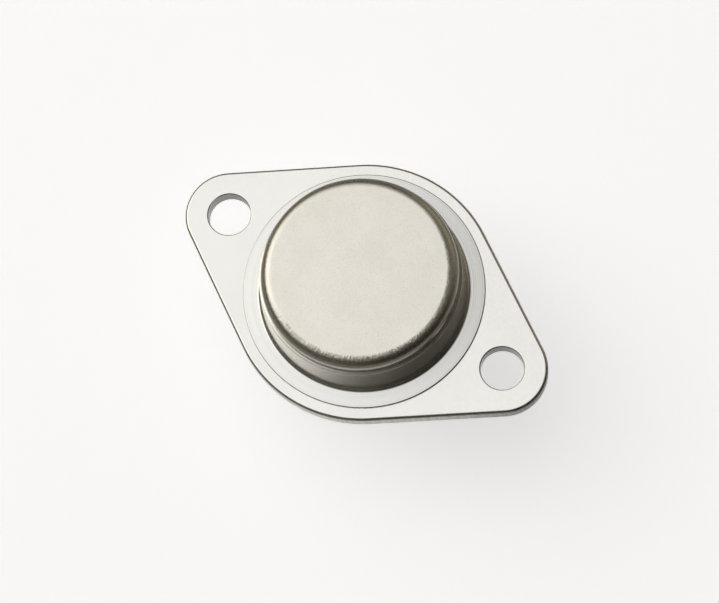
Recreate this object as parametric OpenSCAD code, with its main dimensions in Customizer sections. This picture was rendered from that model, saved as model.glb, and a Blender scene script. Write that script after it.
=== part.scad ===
// Power transistor in a two-pin metal case. A punched diamond-shaped flange carries a drawn steel can,
// welded on by its brim. Inside sit the chip, its copper spreader and the bond wires, and two pins leave
// the underside through glass seals.
// The origin is midway between the two mounting holes, on the flange's underside. +X runs along the
// line of the holes, +Z up through the can, and the pins point down.

/* [Flange] */
// Distance between the centres of the two mounting holes
hole_spacing = 30.15; // [29:0.05:33]
// Diameter of a mounting hole
hole_d = 4.1; // [3.6:0.05:4.4]
// Radius of the flange's outline around each mounting hole
end_r = 4.25; // [3.4:0.05:5]
// Radius of the flange's outline around the can
middle_r = 12.6; // [12.3:0.05:13.5]
// Thickness of the flange
flange_t = 1.6; // [1.2:0.05:2.4]
// Rounding that the punch leaves along the flange's upper edge
edge_round = 0.3; // [0.1:0.05:0.5]
// Rounding of the upper rim of each mounting hole
rim_round = 0.12; // [0.05:0.01:0.25]

/* [Can] */
// Height of the can's flat top above the flange's underside
top_h = 8.15; // [7.6:0.05:10]
// Thickness of the can's sheet
can_t = 0.45; // [0.3:0.05:0.5]
// Diameter of the upper wall, between the shoulder and the flat top
upper_d = 18.4; // [17.6:0.05:18.6]
// Diameter of the lower wall where it meets the shoulder
shoulder_d = 18.84; // [18.7:0.02:19.1]
// Diameter of the lower wall where it would meet the brim
foot_d = 19.5; // [19.2:0.05:20]
// Distance from the shoulder up to the flat top
crown_h = 1.78; // [1.4:0.02:2.6]
// Rounding of the shoulder's outer edge
shoulder_round = 0.2; // [0.1:0.02:0.3]
// Rounding between the flat top and the upper wall
crown_round = 0.95; // [0.6:0.05:1.2]
// Outer diameter of the brim that is welded to the flange
brim_d = 22.9; // [22:0.05:23.4]
// Thickness of the brim, pressed thin by the weld
brim_t = 0.34; // [0.2:0.02:0.5]
// Fillet between the lower wall and the brim
foot_fillet = 0.4; // [0.2:0.05:0.6]

/* [Pins and seals] */
// Distance between the two pins
pin_spacing = 10.92; // [10.4:0.02:11.4]
// Distance from the middle of the flange to the line of the pins
pin_offset = 1.815; // [0.5:0.005:2.2]
// Diameter of a pin below the flange
pin_d = 1; // [0.8:0.01:1.2]
// Growth of a pin's diameter from the flange's underside up to its head, where the wire was upset
pin_swell = 0.04; // [0.01:0.01:0.08]
// Length of a pin below the flange
pin_out = 11.7; // [7:0.1:14]
// Height of a pin's head above the flange's upper face
pin_in = 1.55; // [1.2:0.05:2.5]
// Diameter of a pin's flat head, where the wires are bonded
head_d = 2; // [1.8:0.1:2.4]
// Thickness of a pin's flat head
head_t = 0.4; // [0.2:0.05:0.6]
// Diameter of the hole that a glass seal fills
seal_d = 3.3; // [2.6:0.1:3.6]
// Depth of the glass below the flange's face at each end
seal_recess = 0.12; // [0.05:0.01:0.3]
// Depth of the hollow that the glass draws between the pin and the hole
meniscus = 0.15; // [0.05:0.01:0.2]

/* [Chip] */
// Length of the copper spreader, along the line of the mounting holes
spreader_l = 11; // [8:0.1:12]
// Width of the copper spreader
spreader_w = 7; // [6.2:0.1:7.2]
// Thickness of the copper spreader
spreader_t = 1; // [0.6:0.1:1.5]
// Distance from the middle of the flange to the middle of the spreader, away from the pins
spreader_offset = 0.6; // [0:0.1:1]
// Side of the square silicon chip
die_side = 5.4; // [4.8:0.1:6]
// Thickness of the silicon chip
die_t = 0.35; // [0.2:0.05:0.5]
// Thickness of the brazed layer under the spreader and of the soldered layer under the chip
joint_t = 0.06; // [0.04:0.01:0.12]
// Diameter of an emitter wire
emitter_wire_d = 0.38; // [0.25:0.01:0.45]
// Diameter of the base wire
base_wire_d = 0.3; // [0.2:0.01:0.4]
// Height of a wire's arch
wire_rise = 1.3; // [0.8:0.1:1.6]

/* [Hidden] */
$fn = 64;
// Facets of the flange's body, finer than those of the strip along its edge. So the strip's inner side
// reaches into the body all the way round, and no slit is left between them.
body_fn = 4 * $fn;

// Flange: half the hole spacing, and the tilt and length of the straight edges that join the arcs
half_spacing = hole_spacing / 2;
edge_tilt = acos((middle_r - end_r) / half_spacing);
edge_l = half_spacing * sin(edge_tilt);

// Can: heights from the flange's underside, radii, and the lower wall's taper
brim_z = flange_t + brim_t;
shoulder_z = top_h - crown_h;
upper_r = upper_d / 2;
shoulder_r = shoulder_d / 2;
foot_r = foot_d / 2;
brim_r = brim_d / 2;
brim_edge_round = 0.1;
taper = atan((foot_r - shoulder_r) / (shoulder_z - brim_z));
bend_r = foot_fillet + brim_t;
function wall_r(z) = shoulder_r + (shoulder_z - z) * tan(taper);

// Pins: the two places, the head's height and the cut at the free end
pin_places = [[-pin_offset, -pin_spacing / 2], [-pin_offset, pin_spacing / 2]];
head_z = flange_t + pin_in;
neck_z = head_z - head_t;
pin_chamfer = 0.18;
function pin_r(z) = (pin_d + pin_swell * z / neck_z) / 2;

// Chip: the heights of the stack and the places of the bonding pads, measured from the chip's middle
spreader_z = flange_t + joint_t;
solder_z = spreader_z + spreader_t;
die_z = solder_z + joint_t;
pad_z = die_z + die_t;
spreader_corner = 0.6;
solder_margin = 0.15;
emitter_pad = [spreader_offset - die_side * 0.05, die_side * 0.2];
base_pad = [spreader_offset - die_side * 0.2, -die_side * 0.3];
emitter_wire_gap = emitter_wire_d * 1.1;
foot_l = 0.8;
foot_flatten = 0.45;
foot_spread = 1.25;

// Distance that a cutting shape runs past the face it cuts
over = 1;

// Outline of the flange, or one that lies inside it by inset: three round pads, and the straight sides
// that touch them
module flange_outline(inset) {
    middle = middle_r - inset;
    end = end_r - inset;
    near = [middle * cos(edge_tilt), middle * sin(edge_tilt)];
    far = [half_spacing + end * cos(edge_tilt), end * sin(edge_tilt)];
    circle(r = middle);
    for (side = [-1, 1]) translate([side * half_spacing, 0]) circle(r = end);
    polygon([
        far, near, [-near[0], near[1]], [-far[0], far[1]],
        -far, -near, [near[0], -near[1]], [far[0], -far[1]]
    ]);
}

// Section of the strip along the flange's edge, with the upper edge rounded. It is as wide as the rounding.
module edge_section() {
    corner = [-edge_round, flange_t - edge_round];
    translate([-edge_round, 0]) square([edge_round, corner[1]]);
    intersection() {
        translate(corner) circle(r = edge_round);
        translate(corner) square(edge_round);
    }
}

// The strip where the edge is an arc, and where it is straight
module edge_arc(r, start, turn) {
    rotate([0, 0, start]) rotate_extrude(angle = turn) translate([r, 0]) edge_section();
}

module edge_straight() {
    translate([middle_r, 0, 0]) rotate([90, 0, 0]) linear_extrude(edge_l) edge_section();
}

module flange_edge() {
    for (turn = [0, 180]) rotate([0, 0, turn]) {
        edge_arc(middle_r, edge_tilt, 180 - 2 * edge_tilt);
        translate([half_spacing, 0, 0]) edge_arc(end_r, -edge_tilt, 2 * edge_tilt);
        rotate([0, 0, edge_tilt]) edge_straight();
        mirror([0, 1, 0]) rotate([0, 0, edge_tilt]) edge_straight();
    }
}

// Hole through the flange, with its upper rim rounded
module mounting_hole() {
    hole_r = hole_d / 2;
    translate([0, 0, -over]) cylinder(r = hole_r, h = flange_t + 2 * over);
    rotate_extrude() difference() {
        translate([0, flange_t - rim_round]) square([hole_r + rim_round, rim_round + over]);
        translate([hole_r + rim_round, flange_t - rim_round]) circle(r = rim_round);
    }
}

module base_flange() {
    color([0.90, 0.90, 0.89]) difference() {
        union() {
            linear_extrude(flange_t) flange_outline(edge_round, $fn = body_fn);
            flange_edge();
        }
        for (side = [-1, 1]) translate([side * half_spacing, 0, 0]) mounting_hole();
        for (place = pin_places)
            translate([place[0], place[1], -over]) cylinder(d = seal_d, h = flange_t + 2 * over);
    }
}

// Half section of the cup without its brim, filled in. inset moves it inwards by the sheet's thickness,
// corner is the rounding at the flat top, and the tapered lower wall ends at ledge_z.
module cup_section(low_z, ledge_z, inset, corner) {
    ceiling_z = top_h - inset;
    polygon([[0, low_z], [wall_r(low_z) - inset, low_z], [wall_r(ledge_z) - inset, ledge_z], [0, ledge_z]]);
    translate([0, low_z]) square([upper_r - inset, ceiling_z - corner - low_z]);
    translate([0, low_z]) square([upper_r - inset - corner, ceiling_z - low_z]);
    translate([upper_r - inset - corner, ceiling_z - corner]) circle(r = corner);
}

// Brim with its rounded rim, and the fillet that runs up into the tapered wall
module brim_section() {
    square_r = brim_r - brim_edge_round;
    translate([0, flange_t]) square([brim_r, brim_t - brim_edge_round]);
    translate([0, flange_t]) square([square_r, brim_t]);
    translate([square_r, brim_z - brim_edge_round]) circle(r = brim_edge_round);
    fillet_z = brim_z + foot_fillet;
    fillet_x = wall_r(fillet_z) + foot_fillet / cos(taper);
    touch = [fillet_x - foot_fillet * cos(taper), fillet_z - foot_fillet * sin(taper)];
    difference() {
        polygon([[wall_r(brim_z) - can_t / 2, brim_z - brim_t / 2], [fillet_x, brim_z - brim_t / 2],
            [fillet_x, fillet_z], touch, [touch[0] - can_t / 2, touch[1]]]);
        translate([fillet_x, fillet_z]) circle(r = foot_fillet);
    }
}

// Bend at the mouth, where the sheet turns outwards and leaves a small gap above the flange
module mouth_section() {
    bend_x = wall_r(flange_t + bend_r) - can_t + bend_r / cos(taper);
    difference() {
        translate([0, flange_t - over]) square([bend_x, over + bend_r * (1 - sin(taper))]);
        translate([bend_x, flange_t + bend_r]) circle(r = bend_r);
    }
}

module can() {
    ledge_z = shoulder_z - shoulder_round;
    ledge_r = wall_r(ledge_z) - shoulder_round;
    color([0.80, 0.79, 0.76]) rotate_extrude() difference() {
        intersection() {
            union() {
                cup_section(flange_t, ledge_z, 0, crown_round);
                translate([0, flange_t]) square([ledge_r, shoulder_z - flange_t]);
                translate([ledge_r, ledge_z]) circle(r = shoulder_round);
                brim_section();
            }
            square([brim_r, top_h]);
        }
        cup_section(flange_t - over, shoulder_z - can_t, can_t, crown_round - can_t);
        mouth_section();
    }
}

// Pin with a flat head inside the case and a cut edge at its free end
module pin(place) {
    tip_z = -pin_out;
    translate([place[0], place[1], 0]) rotate_extrude() polygon([
        [0, tip_z], [pin_r(0) - pin_chamfer, tip_z], [pin_r(0), tip_z + pin_chamfer], [pin_r(0), 0],
        [pin_r(neck_z), neck_z], [head_d / 2, neck_z], [head_d / 2, head_z], [0, head_z]
    ]);
}

module base_pin() {
    color([0.80, 0.76, 0.68]) pin(pin_places[0]);
}

module emitter_pin() {
    color([0.80, 0.76, 0.68]) pin(pin_places[1]);
}

// Circle that hollows the glass between the pin and the hole, in the face at height z. side is 1 at the
// upper face and -1 at the lower one.
module meniscus_circle(z, side) {
    width = seal_d / 2 - pin_r(z);
    hollow_r = (width * width / 4 + meniscus * meniscus) / (2 * meniscus);
    translate([seal_d / 2 - width / 2, z + side * (hollow_r - meniscus)]) circle(r = hollow_r);
}

module seal(place) {
    low = seal_recess;
    high = flange_t - seal_recess;
    translate([place[0], place[1], 0]) rotate_extrude() difference() {
        polygon([[pin_r(low), low], [seal_d / 2, low], [seal_d / 2, high], [pin_r(high), high]]);
        meniscus_circle(high, 1);
        meniscus_circle(low, -1);
    }
}

module base_seal() {
    color([0.16, 0.20, 0.22]) seal(pin_places[0]);
}

module emitter_seal() {
    color([0.16, 0.20, 0.22]) seal(pin_places[1]);
}

// Outline of the spreader, seen from above, with rounded corners
module spreader_outline() {
    for (trim = [[spreader_corner, 0], [0, spreader_corner]])
        square([spreader_l - 2 * trim[0], spreader_w - 2 * trim[1]], center = true);
    for (x = [-1, 1], y = [-1, 1])
        translate([x * (spreader_l / 2 - spreader_corner), y * (spreader_w / 2 - spreader_corner)])
            circle(r = spreader_corner);
}

module spreader_braze() {
    color([0.75, 0.74, 0.70])
        translate([spreader_offset, 0, flange_t]) linear_extrude(joint_t) spreader_outline();
}

module heat_spreader() {
    color([0.72, 0.45, 0.32])
        translate([spreader_offset, 0, spreader_z]) linear_extrude(spreader_t) spreader_outline();
}

module die_solder() {
    side = die_side + 2 * solder_margin;
    color([0.60, 0.60, 0.62]) translate([spreader_offset - side / 2, -side / 2, solder_z])
        cube([side, side, joint_t]);
}

module die() {
    color([0.30, 0.32, 0.38]) translate([spreader_offset - die_side / 2, -die_side / 2, die_z])
        cube([die_side, die_side, die_t]);
}

// Flattened end of a bond wire, lying on a face at height z
module wire_foot(x, z, d) {
    translate([x - foot_l / 2, -d * foot_spread / 2, z]) cube([foot_l, d * foot_spread, d * foot_flatten]);
}

// Bond wire that arches from a pad on the chip to a pin's head. Both are plan positions, and shift
// moves the whole wire sideways.
module bond_wire(pad, head, d, shift) {
    run = norm(head - pad);
    heading = atan2(head[1] - pad[1], head[0] - pad[0]);
    climb = head_z - pad_z;
    chord = norm([run, climb]);
    slope = atan2(climb, run);
    arch_r = (chord * chord / 4 + wire_rise * wire_rise) / (2 * wire_rise);
    half_turn = asin(chord / 2 / arch_r);
    drop = arch_r - wire_rise;
    middle = [run / 2 + drop * sin(slope), (pad_z + head_z + d) / 2 - drop * cos(slope)];
    translate([pad[0], pad[1], 0]) rotate([0, 0, heading]) translate([0, shift, 0]) {
        wire_foot(0, pad_z, d);
        wire_foot(run, head_z, d);
        difference() {
            translate([middle[0], 0, middle[1]]) rotate([90, 0, 0])
                rotate([0, 0, 90 + slope - half_turn]) rotate_extrude(angle = 2 * half_turn)
                    translate([arch_r, 0]) circle(d = d);
            translate([-over, -over, pad_z - over]) cube([over + run / 2, 2 * over, over]);
            translate([run / 2, -over, head_z - over]) cube([over + run / 2, 2 * over, over]);
        }
    }
}

module emitter_wire_1() {
    color([0.86, 0.87, 0.88])
        bond_wire(emitter_pad, pin_places[1], emitter_wire_d, -emitter_wire_gap);
}

module emitter_wire_2() {
    color([0.86, 0.87, 0.88])
        bond_wire(emitter_pad, pin_places[1], emitter_wire_d, emitter_wire_gap);
}

module base_wire() {
    color([0.86, 0.87, 0.88]) bond_wire(base_pad, pin_places[0], base_wire_d, 0);
}

base_flange();
can();
base_pin();
emitter_pin();
base_seal();
emitter_seal();
spreader_braze();
heat_spreader();
die_solder();
die();
emitter_wire_1();
emitter_wire_2();
base_wire();
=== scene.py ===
from math import acos, atan, cos, degrees, pi, radians, sin, sqrt, tan

import bpy
from mathutils import Matrix, Vector
from mathutils.geometry import delaunay_2d_cdt


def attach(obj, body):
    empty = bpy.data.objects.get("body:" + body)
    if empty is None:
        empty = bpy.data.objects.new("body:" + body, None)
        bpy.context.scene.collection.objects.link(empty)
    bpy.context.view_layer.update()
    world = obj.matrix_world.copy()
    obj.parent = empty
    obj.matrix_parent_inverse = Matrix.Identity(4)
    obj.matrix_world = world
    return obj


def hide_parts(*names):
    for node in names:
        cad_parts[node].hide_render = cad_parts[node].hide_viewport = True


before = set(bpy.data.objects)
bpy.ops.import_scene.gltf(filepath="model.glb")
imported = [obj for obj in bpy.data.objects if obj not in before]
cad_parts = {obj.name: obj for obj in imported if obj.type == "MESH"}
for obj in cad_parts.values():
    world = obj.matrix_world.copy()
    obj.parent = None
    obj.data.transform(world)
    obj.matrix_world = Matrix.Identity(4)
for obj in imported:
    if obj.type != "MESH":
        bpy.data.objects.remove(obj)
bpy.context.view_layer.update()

# Power transistor in a two-pin metal case. The can and the flange are drawn here, because some of their small
# forms differ from the CAD. The pins, the seals and the pieces inside the can are the CAD's own solids, with
# finishes. All sizes are in millimetres, and become metres where a mesh or a material takes them.

MM = 0.001

# Sizes as the CAD has them: flange and its holes, can, pins

HOLE_SPACING = 30.15
HOLE_R = 2.05
END_R = 4.25
MIDDLE_R = 12.6
FLANGE_T = 1.6
EDGE_ROUND = 0.3
RIM_ROUND = 0.12
SEAL_R = 1.65

TOP_H = 8.15
CAN_T = 0.45
UPPER_R = 9.2
SHOULDER_R = 9.42
FOOT_R = 9.75
CROWN_H = 1.78
SHOULDER_ROUND = 0.2
BRIM_R = 11.45
BRIM_T = 0.34
BRIM_ROUND = 0.1
FOOT_FILLET = 0.4

PIN_OUT = 11.7
PIN_OFFSET = 1.815
PIN_SPACING = 10.92

# Small forms that differ from the CAD: a slightly larger rounding of the can's edge, a brim that falls towards
# its rim, a shoulder whose rounding begins at a slope, and a break along the flange's lower edge. The leans
# are in degrees

CROWN_ROUND = 1.15
BRIM_FALL = 0.12
BRIM_LEAN = 5
LEDGE_LEAN = 35
LOWER_BREAK = 0.04

# Values worked out from the sizes. HALF and TILT place the flange's ends and the lines that touch its arcs

HALF = HOLE_SPACING / 2
TILT = acos((MIDDLE_R - END_R) / HALF)
BRIM_Z = FLANGE_T + BRIM_T
SHOULDER_Z = TOP_H - CROWN_H
CROWN_START = UPPER_R - CROWN_ROUND
TAPER = atan((FOOT_R - SHOULDER_R) / (SHOULDER_Z - BRIM_Z))
PINS = [(-PIN_OFFSET, -PIN_SPACING / 2), (-PIN_OFFSET, PIN_SPACING / 2)]

# Steps of the curves: round a whole turn, and along each rounding or arc

CAN_TURNS = 256
HOLE_TURNS = 96
CROWN_STEPS = 24
FILLET_STEPS = 14
EDGE_STEPS = 10
LEDGE_STEPS = 8
INNER_STEPS = 8
RIM_STEPS = 6
END_STEPS = 48
MIDDLE_STEPS = 96

# Flat faces keep true normals up to this distance from a rounding
GUARD = 0.02
# Lengths below this count as nothing
TINY = 1e-6
# Edges are sharp above this angle
SHARP = radians(30)
# What mathutils calls the triangles inside the given lines, and how near two points count as one
INSIDE = 1
SAME_POINT = 1e-7

# Camera at the photograph's angle: where it stands, what it looks at and how far it leans

CAMERA_AT = Vector((46.958, -46.719, 218.825))
AIM = Vector((0.208, -1.158, 1.6))
LEAN = radians(15.05)
LENS = 120.76
SENSOR = 36
CLIP_NEAR = 10
CLIP_FAR = 20000

# Studio: its sizes, the level of its light, and the colours of the surroundings and of the floor

DOME_R = 1200
DOME_FOOT = -3
DOME_TURNS = 48
DOME_STEPS = 32
FLOOR_SIZE = 1500
FLOOR_GAP = 0.01
STUDIO_LEVEL = 1.6
SURROUNDINGS = (1.0, 0.995, 0.98)
PAPER = (0.85, 0.845, 0.86)
PAPER_ROUGH = 0.9

# Floor's own glow. In metal it fades between two distances from the middle. Further out, metal alone sees the
# floor darker: a painted dark reflection

GLOW = 0.56
GLOW_COLOUR = (1.0, 0.985, 1.0)
GLOW_FADE = (16, 28)
GLOW_LEFT = 0.05
FAR_FADE = (25, 50)
FAR_SHARE = 0.8
FAR_REFLECTED_DARK = (0.10, 0.092, 0.072)

# Dome's cloth, the dim light that comes through all of it, and its windows. A window has the azimuth and the
# angle from upright of its middle, the angles from there to the end of its core and to its edge, and the
# colour of the light that it lets through. A later one covers the earlier ones

CLOTH = (0.02, 0.02, 0.02)
DIM = (0.048, 0.044, 0.034)
WINDOWS = (
    (-15, 72, 15, 58, (0.010, 0.009, 0.006)),
    (165, 50, 6, 30, (0.39, 0.36, 0.27)),
    (75, 84, 5, 35, (0.175, 0.15, 0.105)),
    (182, 25, 20, 48, (0.67, 0.67, 0.67)),
    (191, 48, 8, 26, (1.0, 0.97, 0.86)),
)

# Parts of a noise's range that the finishes use, and its middle value

MID = (0.35, 0.65)
WIDE = (0.3, 0.7)
HALFWAY = 0.5

# Can's nickel. Colours come in pairs where a noise mixes them. The roughness is that of the walls and that of
# the top. A grain or cloud is a noise's lumps for each metre, and a depth is in metres. Specks and scuffs take
# a part of their noise's range to shares of their colour, and the scuffs' darker colour is painted shade. A
# fade has the places where it begins and ends, from the start of the edge's rounding or from the brim

CAN_NICKEL = (0.82, 0.80, 0.73)
TOP_COLOURS = ((0.805, 0.782, 0.713), (0.837, 0.814, 0.752))
SPECK_COLOUR = (0.70, 0.69, 0.62)
# Darker colour of the scuffs: painted shade
SCUFF_SHADE_COLOUR = (0.70, 0.67, 0.57)
BRIM_COLOURS = ((0.75, 0.745, 0.725), (0.81, 0.805, 0.785))
CAN_ROUGH = (0.24, 0.34)
ROUGH_SPREAD = 0.04
CAN_GRAIN = 9000
CAN_CLOUD = 240
SCUFF_GRAIN = 8500
TURNED_GRAIN = 6000
GRAIN_DEPTH = 0.000013
TURNED_DEPTH = 0.000008
SCUFF_DEPTH = 0.00012
SPECKS = (0.5, 0.7, 0, 0.6)
SCUFF_SHADES = (0.45, 0.6, 0, 0.3)
TOP_FADE = (0.25, 0.85)
SCUFF_FADE = (-0.05, 0.25)
BRIM_FADE = (0.1, 0.4)

# Scuffs are drawn out along the radius, and fade across the can from one side to a least share on the other.
# Their darker colour is painted shade on the side away from the light

SCUFF_STRETCH = 0.16
SCUFF_TURN = 0.6
SCUFF_SHADE_SIDE = (-4, 5)
SCUFF_SHADE_LEAST = 0.08

# Flange's nickel, its cut walls with upright tears, and the bores' walls, which are darkened as painted shade.
# The slope tells walls from faces by how far up their normal points, and the relief has the shares of the grain
# and of the tears

FLANGE_NICKEL = (0.82, 0.81, 0.785)
FACE_COLOURS = ((0.80, 0.785, 0.757), (0.824, 0.81, 0.785))
CUT_COLOURS = ((0.40, 0.385, 0.35), (0.52, 0.505, 0.47))
# Painted shade on the walls of the mounting holes
BORE_SHADE_COLOUR = (0.19, 0.187, 0.18)
FLANGE_ROUGH = (0.18, 0.23)
FLANGE_SHINE = 0.2
FLANGE_GRAIN = 3000
FLANGE_CLOUD = 160
TEAR_GRAIN = 3800
TEAR_STRETCH = 0.06
TEARS = (0.35, 0.7)
WALL_SLOPE = (0.2, 0.6)
BORE_SHADE_FADE = (0.05, 0.2)
FLANGE_RELIEF = (0.1, 1.5)
FLANGE_DEPTH = 0.000012

# Metal of the pins and the inner pieces: grain, relief, spread of the roughness, and darker colour's share

METAL_GRAIN = 2500
METAL_DEPTH = 0.000006
METAL_SPREAD = 0.05
METAL_DARKER = 0.9

# Glass of the seals, with its bubbles and its waves, and the chip with its comb of contact metal

SEAL_GLASS = (0.03, 0.045, 0.05)
SEAL_COLOURS = ((0.10, 0.13, 0.14), (0.028, 0.04, 0.045))
SEAL_ROUGH = 0.12
SEAL_IOR = 1.52
BUBBLE_GRAIN = 5200
BUBBLES = (0.05, 0.3)
SEAL_WAVES = 2200
SEAL_DEPTH = 0.00001

SILICON = (0.22, 0.24, 0.30)
CONTACT = (0.78, 0.78, 0.80)
DIE_METALLIC = 0.6
DIE_ROUGH = 0.22
COMB_LINES = 700
COMB_EDGE = (0.45, 0.55)
COMB_DEPTH = 0.000004


def make_camera():
    data = bpy.data.cameras.new("camera")
    data.lens = LENS
    data.sensor_width = SENSOR
    data.clip_start = CLIP_NEAR * MM
    data.clip_end = CLIP_FAR * MM
    cam = bpy.data.objects.new("camera", data)
    bpy.context.scene.collection.objects.link(cam)
    back = (CAMERA_AT - AIM).normalized()
    look = back.to_track_quat("Z", "Y").to_matrix()
    turned = look @ Matrix.Rotation(-LEAN, 3, "Z")
    cam.matrix_world = Matrix.Translation(CAMERA_AT * MM) @ turned.to_4x4()
    bpy.context.scene.camera = cam


# Mesh helpers. Profiles are lists of (radius, height).


def arc(cx, cz, r, start, end, steps):
    """Points on a circle from one angle to another, in degrees."""
    turn = [radians(start + (end - start) * i / steps) for i in range(steps + 1)]
    return [(cx + r * cos(a), cz + r * sin(a)) for a in turn]


def ring(centre, r, turns):
    """Points round a whole circle."""
    turn = [2 * pi * i / turns for i in range(turns)]
    return [(centre[0] + r * cos(a), centre[1] + r * sin(a)) for a in turn]


def guarded(points):
    """The same line, with a point just inside each end of every long straight stretch."""
    out = [points[0]]
    for p, q in zip(points[:-1], points[1:]):
        length = sqrt((q[0] - p[0]) ** 2 + (q[1] - p[1]) ** 2)
        if length > 4 * GUARD:
            for share in (GUARD / length, 1 - GUARD / length):
                out.append((p[0] + (q[0] - p[0]) * share, p[1] + (q[1] - p[1]) * share))
        if length > TINY:
            out.append(q)
    return out


def smooth(mesh):
    mesh.shade_smooth()
    mesh.set_sharp_from_angle(angle=SHARP)


def new_object(name, verts, faces):
    mesh = bpy.data.meshes.new(name)
    mesh.from_pydata([(x * MM, y * MM, z * MM) for x, y, z in verts], [], faces)
    mesh.validate()
    smooth(mesh)
    obj = bpy.data.objects.new(name, mesh)
    bpy.context.scene.collection.objects.link(obj)
    return obj


def lathe(name, profile, turns):
    """Turns a profile about the upright line through the origin. An end on that line becomes one point."""
    verts, rings = [], []
    for r, z in guarded(profile):
        points = ring((0, 0), r, turns) if r > TINY else [(0, 0)]
        rings.append(range(len(verts), len(verts) + len(points)))
        verts.extend((x, y, z) for x, y in points)
    faces = []
    for a, b in zip(rings[:-1], rings[1:]):
        for i in range(turns):
            j = (i + 1) % turns
            corners = [a[i % len(a)], b[i % len(b)], b[j % len(b)], a[j % len(a)]]
            faces.append(tuple(dict.fromkeys(corners)))
    return new_object(name, verts, faces)


# Can


def wall_r(z):
    """Outer radius of the tapered lower wall at a height."""
    return SHOULDER_R + (SHOULDER_Z - z) * tan(TAPER)


def can_profile():
    """The whole sheet as one line: down the outside from the top's middle, and back up the inside to it."""
    lean = degrees(TAPER)
    ledge_z = SHOULDER_Z - SHOULDER_ROUND
    ledge_r = wall_r(ledge_z) - SHOULDER_ROUND
    fillet_z = BRIM_Z + FOOT_FILLET
    fillet_r = wall_r(fillet_z) + FOOT_FILLET / cos(TAPER)
    bend = FOOT_FILLET + BRIM_T
    bend_r = wall_r(FLANGE_T + bend) - CAN_T + bend / cos(TAPER)
    inner_r = UPPER_R - CAN_T
    inner_round = CROWN_ROUND - CAN_T
    ceiling_z = TOP_H - CAN_T
    edge_z = BRIM_Z - BRIM_FALL
    inner_ledge_z = SHOULDER_Z - CAN_T
    outside = (
        [(0, TOP_H)]
        + arc(CROWN_START, TOP_H - CROWN_ROUND, CROWN_ROUND, 90, 0, CROWN_STEPS)
        + [(UPPER_R, SHOULDER_Z)]
        + arc(ledge_r, ledge_z, SHOULDER_ROUND, LEDGE_LEAN, 0, LEDGE_STEPS)
        + arc(fillet_r, fillet_z, FOOT_FILLET, 180 + lean, 270 - BRIM_LEAN, FILLET_STEPS)
        + arc(BRIM_R - BRIM_ROUND, edge_z - BRIM_ROUND, BRIM_ROUND, 90, 0, RIM_STEPS)
        + [(BRIM_R, FLANGE_T)]
    )
    inside = (
        arc(bend_r, FLANGE_T + bend, bend, 270, 180 + lean, INNER_STEPS)
        + [(wall_r(inner_ledge_z) - CAN_T, inner_ledge_z), (inner_r, inner_ledge_z)]
        + arc(inner_r - inner_round, ceiling_z - inner_round, inner_round, 0, 90, INNER_STEPS)
        + [(0, ceiling_z)]
    )
    return outside + inside


def make_can():
    can = lathe("can_shell", can_profile(), CAN_TURNS)
    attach(can, "root")
    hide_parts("can")
    return can


# Flange. Its walls are bands of vertex rows, and its flat faces are filled between the rows.


def outline(inset):
    """Points round the flange, moved inwards by inset. Every inset gives as many points, in step."""
    points = []
    end_r, middle_r = END_R - inset, MIDDLE_R - inset
    for turn in (0, pi):
        end_x = cos(turn) * HALF
        for i in range(END_STEPS + 1):
            a = turn - TILT + 2 * TILT * i / END_STEPS
            points.append((end_x + end_r * cos(a), end_r * sin(a)))
        for i in range(MIDDLE_STEPS + 1):
            a = turn + TILT + (pi - 2 * TILT) * i / MIDDLE_STEPS
            points.append((middle_r * cos(a), middle_r * sin(a)))
    return guarded(points + [points[0]])[:-1]


def edge_section():
    """The flange's edge from below, as (distance inwards, height)."""
    round_z = FLANGE_T - EDGE_ROUND
    break_out = [(LOWER_BREAK + GUARD, 0), (LOWER_BREAK, 0), (0, LOWER_BREAK), (0, LOWER_BREAK + GUARD)]
    rounding = [(-x, z) for x, z in arc(-EDGE_ROUND, round_z, EDGE_ROUND, 0, 90, EDGE_STEPS)]
    return break_out + [(0, round_z - GUARD)] + rounding + [(EDGE_ROUND + GUARD, FLANGE_T)]


def hole_foot(r):
    """Lower end of a hole's wall, as (radius, height)."""
    return [(r + 2 * GUARD, 0), (r + GUARD, 0), (r, GUARD)]


def bore_section():
    """Wall of a mounting hole from below, with its rounded rim."""
    round_z = FLANGE_T - RIM_ROUND
    rim = arc(HOLE_R + RIM_ROUND, round_z, RIM_ROUND, 180, 90, RIM_STEPS)
    return hole_foot(HOLE_R) + [(HOLE_R, round_z - GUARD)] + rim + [(HOLE_R + RIM_ROUND + GUARD, FLANGE_T)]


def seal_section():
    """Wall of a hole for a seal from below, with a sharp rim."""
    return hole_foot(SEAL_R) + [(SEAL_R, FLANGE_T), (SEAL_R + GUARD, FLANGE_T)]


def band(verts, faces, loops, flip):
    """Joins loops of (points, height), and returns the vertex numbers of the first and the last."""
    rows = []
    for points, z in loops:
        rows.append(list(range(len(verts), len(verts) + len(points))))
        verts.extend((x, y, z) for x, y in points)
    for a, b in zip(rows[:-1], rows[1:]):
        for i in range(len(a)):
            j = (i + 1) % len(a)
            quad = (a[i], a[j], b[j], b[i])
            faces.append(quad[::-1] if flip else quad)
    return rows[0], rows[-1]


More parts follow.
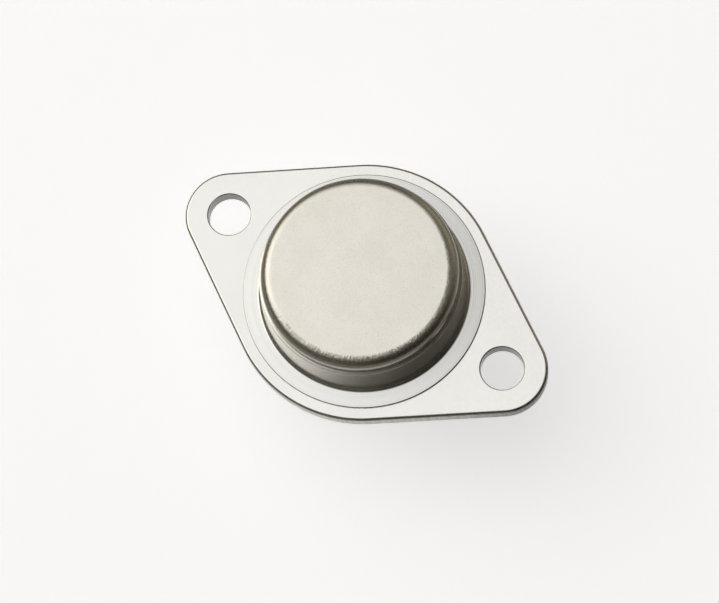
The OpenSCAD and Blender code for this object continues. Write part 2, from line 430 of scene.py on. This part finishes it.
def cap(verts, faces, outer, holes, flip):
    """Fills the flat face between an outer row and the rows round its holes."""
    rows = [outer] + holes
    index = [v for row in rows for v in row]
    place = {v: i for i, v in enumerate(index)}
    flat = [Vector(verts[v][:2]) for v in index]
    edges = [(place[a], place[b]) for row in rows for a, b in zip(row, row[1:] + row[:1])]
    points, _, triangles, sources, _, _ = delaunay_2d_cdt(flat, edges, [], INSIDE, SAME_POINT)
    centres = [sum((Vector(verts[v][:2]) for v in row), Vector((0, 0))) / len(row) for row in holes]
    reach = [(Vector(verts[row[0]][:2]) - c).length for row, c in zip(holes, centres)]
    for triangle in triangles:
        middle = sum((points[i] for i in triangle), Vector((0, 0))) / 3
        if any((middle - c).length < r for c, r in zip(centres, reach)):
            continue
        corners = [index[sources[i][0]] for i in triangle]
        faces.append(tuple(corners[::-1] if flip else corners))


def make_flange():
    verts, faces = [], []
    edge = [(outline(inset), z) for inset, z in edge_section()]
    low_outer, high_outer = band(verts, faces, edge, False)
    low_holes, high_holes = [], []
    bores = [((x, 0), bore_section()) for x in (-HALF, HALF)]
    wells = [(pin, seal_section()) for pin in PINS]
    for centre, section in bores + wells:
        wall = [(ring(centre, r, HOLE_TURNS), z) for r, z in section]
        low, high = band(verts, faces, wall, True)
        low_holes.append(low)
        high_holes.append(high)
    cap(verts, faces, low_outer, low_holes, True)
    cap(verts, faces, high_outer, high_holes, False)
    flange = new_object("flange_plate", verts, faces)
    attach(flange, "root")
    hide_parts("base_flange")
    return flange


# Materials


class Paint:
    """A material's node tree, with short calls for the nodes that the finishes use."""

    def __init__(self, name, metallic, colour, roughness):
        self.material = bpy.data.materials.new(name)
        self.material.use_nodes = True
        self.tree = self.material.node_tree
        self.shader = self.tree.nodes["Principled BSDF"]
        self.shader.inputs["Metallic"].default_value = metallic
        self.shader.inputs["Base Color"].default_value = (*colour, 1)
        self.shader.inputs["Roughness"].default_value = roughness
        self.place = self.add("ShaderNodeTexCoord").outputs["Object"]

    def add(self, kind, inputs=None, **settings):
        node = self.tree.nodes.new(kind)
        for key, value in settings.items():
            setattr(node, key, value)
        for key, value in (inputs or {}).items():
            self.feed(node, key, value)
        return node

    def feed(self, node, key, value):
        """Links another node's output to an input, or sets it to a plain value."""
        if isinstance(value, bpy.types.NodeSocket):
            self.tree.links.new(value, node.inputs[key])
        else:
            node.inputs[key].default_value = value

    def link(self, output, socket):
        self.tree.links.new(output, self.shader.inputs[socket])

    def to_surface(self, output):
        self.tree.links.new(output, self.tree.nodes["Material Output"].inputs["Surface"])

    def axes(self):
        return self.add("ShaderNodeSeparateXYZ", {0: self.place}).outputs

    def vector(self, x, y=0.0):
        return self.add("ShaderNodeCombineXYZ", {0: x, 1: y, 2: 0.0}).outputs[0]

    def noise(self, scale, detail, where=None):
        """Noise with about one lump for each 1/scale metres."""
        inputs = {"Vector": where or self.place, "Scale": scale, "Detail": detail}
        return self.add("ShaderNodeTexNoise", inputs).outputs["Fac"]

    def math(self, kind, a, b=0.0):
        return self.add("ShaderNodeMath", {0: a, 1: b}, operation=kind).outputs[0]

    def times(self, first, *others):
        for other in others:
            first = self.math("MULTIPLY", first, other)
        return first

    def length(self, x, y):
        return self.math("SQRT", self.math("ADD", self.times(x, x), self.times(y, y)))

    def remap(self, value, low, high, to_low=0, to_high=1, smooth=True):
        """Takes low to to_low and high to to_high, and keeps to them outside."""
        settings = {"interpolation_type": "SMOOTHSTEP"} if smooth else {}
        found = {"Value": value, "From Min": low, "From Max": high, "To Min": to_low, "To Max": to_high}
        return self.add("ShaderNodeMapRange", found, **settings).outputs["Result"]

    def fade(self, distance, start, span, before, after):
        """Goes from before to after over a span in millimetres, which is counted from start."""
        low, high = span
        return self.remap(distance, (start + low) * MM, (start + high) * MM, before, after)

    def mix(self, factor, a, b):
        """Mixes two colours, each a node's output or three plain numbers."""
        node = self.add("ShaderNodeMix", {0: factor}, data_type="RGBA")
        for key, colour in ((6, a), (7, b)):
            self.feed(node, key, (*colour, 1) if isinstance(colour, tuple) else colour)
        return node.outputs[2]

    def bump(self, height, depth, normal=None):
        """Bump of a height from 0 to 1, depth metres deep, over another bump where one is given."""
        inputs = {"Height": height, "Distance": depth}
        if normal is not None:
            inputs["Normal"] = normal
        return self.add("ShaderNodeBump", inputs).outputs["Normal"]


def can_finish():
    """Nickel plate: matte and grainy on the flat top, smoother on the walls, ridged round the edge, with painted
    shade darkening the ridges on one side.
    """
    p = Paint("can_nickel", 1.0, CAN_NICKEL, CAN_ROUGH[1])
    grain = p.noise(CAN_GRAIN, 3)
    cloud = p.noise(CAN_CLOUD, 3)
    x, y, z = p.axes()
    radius = p.length(x, y)
    top = p.fade(radius, CROWN_START, TOP_FADE, 1, 0)
    brim = p.fade(z, BRIM_Z, BRIM_FADE, 1, 0)

    turn = p.times(p.math("ARCTAN2", y, x), UPPER_R * MM)
    ridges = p.noise(SCUFF_GRAIN, 2, p.vector(turn, p.times(radius, SCUFF_STRETCH)))
    on_round = p.fade(radius, CROWN_START, SCUFF_FADE, 0, 1)
    # Side mask: the scuffs' darker colour is painted shade on the side away from the light
    across = p.math("SUBTRACT", x, p.times(y, SCUFF_TURN))
    shaded_side = p.fade(across, 0, SCUFF_SHADE_SIDE, SCUFF_SHADE_LEAST, 1)
    scuff_and_shade_edge = p.times(on_round, top, shaded_side)
    rings = p.noise(TURNED_GRAIN, 2, p.vector(radius))

    flat = p.mix(p.remap(cloud, *MID), *TOP_COLOURS)
    speckled = p.mix(p.times(top, p.remap(grain, *SPECKS)), flat, SPECK_COLOUR)
    # Scuff colour: painted shade, darker on one side of the edge
    scuffed_and_shaded = p.mix(p.times(scuff_and_shade_edge, p.remap(ridges, *SCUFF_SHADES)), speckled, SCUFF_SHADE_COLOUR)
    turned_face = p.mix(p.remap(rings, *MID), *BRIM_COLOURS)
    p.link(p.mix(brim, scuffed_and_shaded, turned_face), "Base Color")

    rough = p.remap(top, 0, 1, *CAN_ROUGH, smooth=False)
    spread = p.times(top, p.remap(grain, *WIDE, -ROUGH_SPREAD, ROUGH_SPREAD))
    p.link(p.math("ADD", rough, spread), "Roughness")

    fine = p.bump(p.times(grain, top), GRAIN_DEPTH)
    turned = p.bump(p.times(rings, brim), TURNED_DEPTH, fine)
    scuffs = p.times(p.math("SUBTRACT", ridges, HALFWAY), scuff_and_shade_edge)
    p.link(p.bump(scuffs, SCUFF_DEPTH, turned), "Normal")
    return p.material


def flange_finish():
    """Satin nickel plate over a punched sheet: faint clouds on the faces, upright tears on the cut walls, and
    painted shade on the walls of the mounting holes.
    """
    p = Paint("flange_nickel", 1.0, FLANGE_NICKEL, FLANGE_SHINE)
    grain = p.noise(FLANGE_GRAIN, 4)
    cloud = p.noise(FLANGE_CLOUD, 4)
    stretch = p.add("ShaderNodeMapping", {"Vector": p.place, "Scale": (1, 1, TEAR_STRETCH)}).outputs[0]
    tears = p.noise(TEAR_GRAIN, 3, stretch)

    normal = p.add("ShaderNodeNewGeometry").outputs["Normal"]
    up = p.add("ShaderNodeSeparateXYZ", {0: normal}).outputs["Z"]
    wall = p.remap(p.math("ABSOLUTE", up), *WALL_SLOPE, 1, 0)
    x, y = p.axes()[:2]
    from_hole = p.math("SUBTRACT", p.math("ABSOLUTE", x), HALF * MM)
    # Mounting holes' walls: their dark colour is painted shade in the bores
    bore_shade = p.fade(p.length(from_hole, y), HOLE_R, BORE_SHADE_FADE, 1, 0)

    face = p.mix(p.remap(cloud, *MID), *FACE_COLOURS)
    cut = p.mix(p.remap(tears, *TEARS), *CUT_COLOURS)
    p.link(p.mix(wall, face, p.mix(bore_shade, cut, BORE_SHADE_COLOUR)), "Base Color")
    p.link(p.remap(grain, *WIDE, *FLANGE_ROUGH), "Roughness")
    grain_share, tear_share = FLANGE_RELIEF
    height = p.math("ADD", p.times(grain, grain_share), p.times(tears, wall, tear_share))
    p.link(p.bump(height, FLANGE_DEPTH), "Normal")
    return p.material


def plain_metal(name, colour, roughness):
    """Drawn or cast metal with a fine grain in its colour, gloss and relief."""
    p = Paint(name, 1.0, colour, roughness)
    grain = p.noise(METAL_GRAIN, 3)
    darker = tuple(c * METAL_DARKER for c in colour)
    p.link(p.mix(p.remap(grain, *MID), darker, colour), "Base Color")
    p.link(p.remap(grain, *WIDE, roughness - METAL_SPREAD, roughness + METAL_SPREAD), "Roughness")
    p.link(p.bump(grain, METAL_DEPTH), "Normal")
    return p.material


def seal_finish():
    """Dark fused glass with small bubbles under its face."""
    p = Paint("seal_glass", 0.0, SEAL_GLASS, SEAL_ROUGH)
    cells = p.add("ShaderNodeTexVoronoi", {"Vector": p.place, "Scale": BUBBLE_GRAIN}).outputs["Distance"]
    p.link(p.mix(p.remap(cells, *BUBBLES), *SEAL_COLOURS), "Base Color")
    p.link(p.bump(p.noise(SEAL_WAVES, 2), SEAL_DEPTH), "Normal")
    p.shader.inputs["IOR"].default_value = SEAL_IOR
    return p.material


def die_finish():
    """Silicon chip with bright contact metal, in the comb pattern that such chips have."""
    p = Paint("die_silicon", DIE_METALLIC, SILICON, DIE_ROUGH)
    lines = {"Vector": p.place, "Scale": COMB_LINES}
    wave = p.add("ShaderNodeTexWave", lines, wave_profile="SIN").outputs["Fac"]
    comb = p.remap(wave, *COMB_EDGE)
    p.link(p.mix(comb, SILICON, CONTACT), "Base Color")
    p.link(p.bump(comb, COMB_DEPTH), "Normal")
    return p.material


def set_material(obj, material):
    obj.data.materials.clear()
    obj.data.materials.append(material)


# Studio: pale floor and surroundings, and a dark dome whose soft windows light the object


def direction(azimuth, zenith):
    """Direction towards a place on the dome, from its angles in degrees."""
    a, t = radians(azimuth), radians(zenith)
    return (sin(t) * cos(a), sin(t) * sin(a), cos(t))


def make_world():
    """Even pale surroundings, which the camera sees as white."""
    world = bpy.data.worlds.new("studio")
    bpy.context.scene.world = world
    world.use_nodes = True
    tree = world.node_tree
    light = tree.nodes["Background"]
    light.inputs["Color"].default_value = (*SURROUNDINGS, 1)
    seen = tree.nodes.new("ShaderNodeLightPath").outputs["Is Camera Ray"]
    level = tree.nodes.new("ShaderNodeMapRange")
    level.inputs["To Min"].default_value = STUDIO_LEVEL
    level.inputs["To Max"].default_value = 1.0
    tree.links.new(seen, level.inputs["Value"])
    tree.links.new(level.outputs["Result"], light.inputs["Strength"])


def make_dome():
    """Dark dome that lets the pale surroundings through its windows. The camera doesn't see it."""
    dome = lathe("dome", arc(0, 0, DOME_R, 90, DOME_FOOT, DOME_STEPS), DOME_TURNS)
    p = Paint("dome_cloth", 0.0, CLOTH, 1.0)
    towards = p.add("ShaderNodeVectorMath", {0: p.place}, operation="NORMALIZE").outputs[0]
    light = DIM
    for azimuth, zenith, core, edge, colour in WINDOWS:
        pair = {0: towards, 1: direction(azimuth, zenith)}
        facing = p.add("ShaderNodeVectorMath", pair, operation="DOT_PRODUCT").outputs["Value"]
        inside = p.remap(facing, cos(radians(edge)), cos(radians(core)))
        light = p.mix(inside, light, colour)
    clear = p.add("ShaderNodeBsdfTransparent", {"Color": light}).outputs[0]
    p.to_surface(p.add("ShaderNodeAddShader", {0: clear, 1: p.shader.outputs[0]}).outputs[0])
    set_material(dome, p.material)
    dome.visible_camera = False


def make_floor():
    """Pale floor under the pins' ends. It glows a little, in metal only near it, and is clear from below.
    Further out, metal alone sees it darker, as a painted reflection.
    """
    z = -PIN_OUT - FLOOR_GAP
    corners = [(x * FLOOR_SIZE, y * FLOOR_SIZE, z) for x, y in ((-1, -1), (1, -1), (1, 1), (-1, 1))]
    floor = new_object("floor", corners, [(0, 1, 2, 3)])
    p = Paint("floor_paper", 0.0, PAPER, PAPER_ROUGH)
    path = p.add("ShaderNodeLightPath").outputs
    distance = p.add("ShaderNodeVectorMath", {0: p.place}, operation="LENGTH").outputs["Value"]

    near = p.fade(distance, 0, GLOW_FADE, 1, GLOW_LEFT)
    # Painted reflection: only metal sees the floor darker further out
    far = p.times(path["Is Glossy Ray"], p.fade(distance, 0, FAR_FADE, 0, FAR_SHARE))
    p.link(p.mix(far, PAPER, FAR_REFLECTED_DARK), "Base Color")

    in_metal = p.times(path["Is Glossy Ray"], near)
    seen = p.math("ADD", p.math("ADD", path["Is Camera Ray"], in_metal), path["Is Transmission Ray"])
    p.link(p.times(p.math("MINIMUM", seen, 1.0), GLOW), "Emission Strength")
    p.shader.inputs["Emission Color"].default_value = (*GLOW_COLOUR, 1)

    below = p.add("ShaderNodeNewGeometry").outputs["Backfacing"]
    clear = p.add("ShaderNodeBsdfTransparent").outputs[0]
    p.to_surface(p.add("ShaderNodeMixShader", {0: below, 1: p.shader.outputs[0], 2: clear}).outputs[0])
    set_material(floor, p.material)


make_camera()
make_world()
make_dome()
make_floor()
set_material(make_can(), can_finish())
set_material(make_flange(), flange_finish())

pin_metal = plain_metal("pin_nickel", (0.80, 0.77, 0.71), 0.28)
bond_metal = plain_metal("bond_aluminium", (0.86, 0.87, 0.88), 0.25)
seal_glass = seal_finish()
finishes = {
    "base_pin": pin_metal,
    "emitter_pin": pin_metal,
    "base_seal": seal_glass,
    "emitter_seal": seal_glass,
    "spreader_braze": plain_metal("braze_silver", (0.82, 0.79, 0.72), 0.4),
    "heat_spreader": plain_metal("spreader_copper", (0.80, 0.45, 0.30), 0.35),
    "die_solder": plain_metal("solder_tin", (0.55, 0.55, 0.57), 0.4),
    "die": die_finish(),
    "emitter_wire_1": bond_metal,
    "emitter_wire_2": bond_metal,
    "base_wire": bond_metal,
}
for node, material in finishes.items():
    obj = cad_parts[node]
    set_material(obj, material)
    smooth(obj.data)

bpy.context.scene.view_settings.view_transform = "Standard"
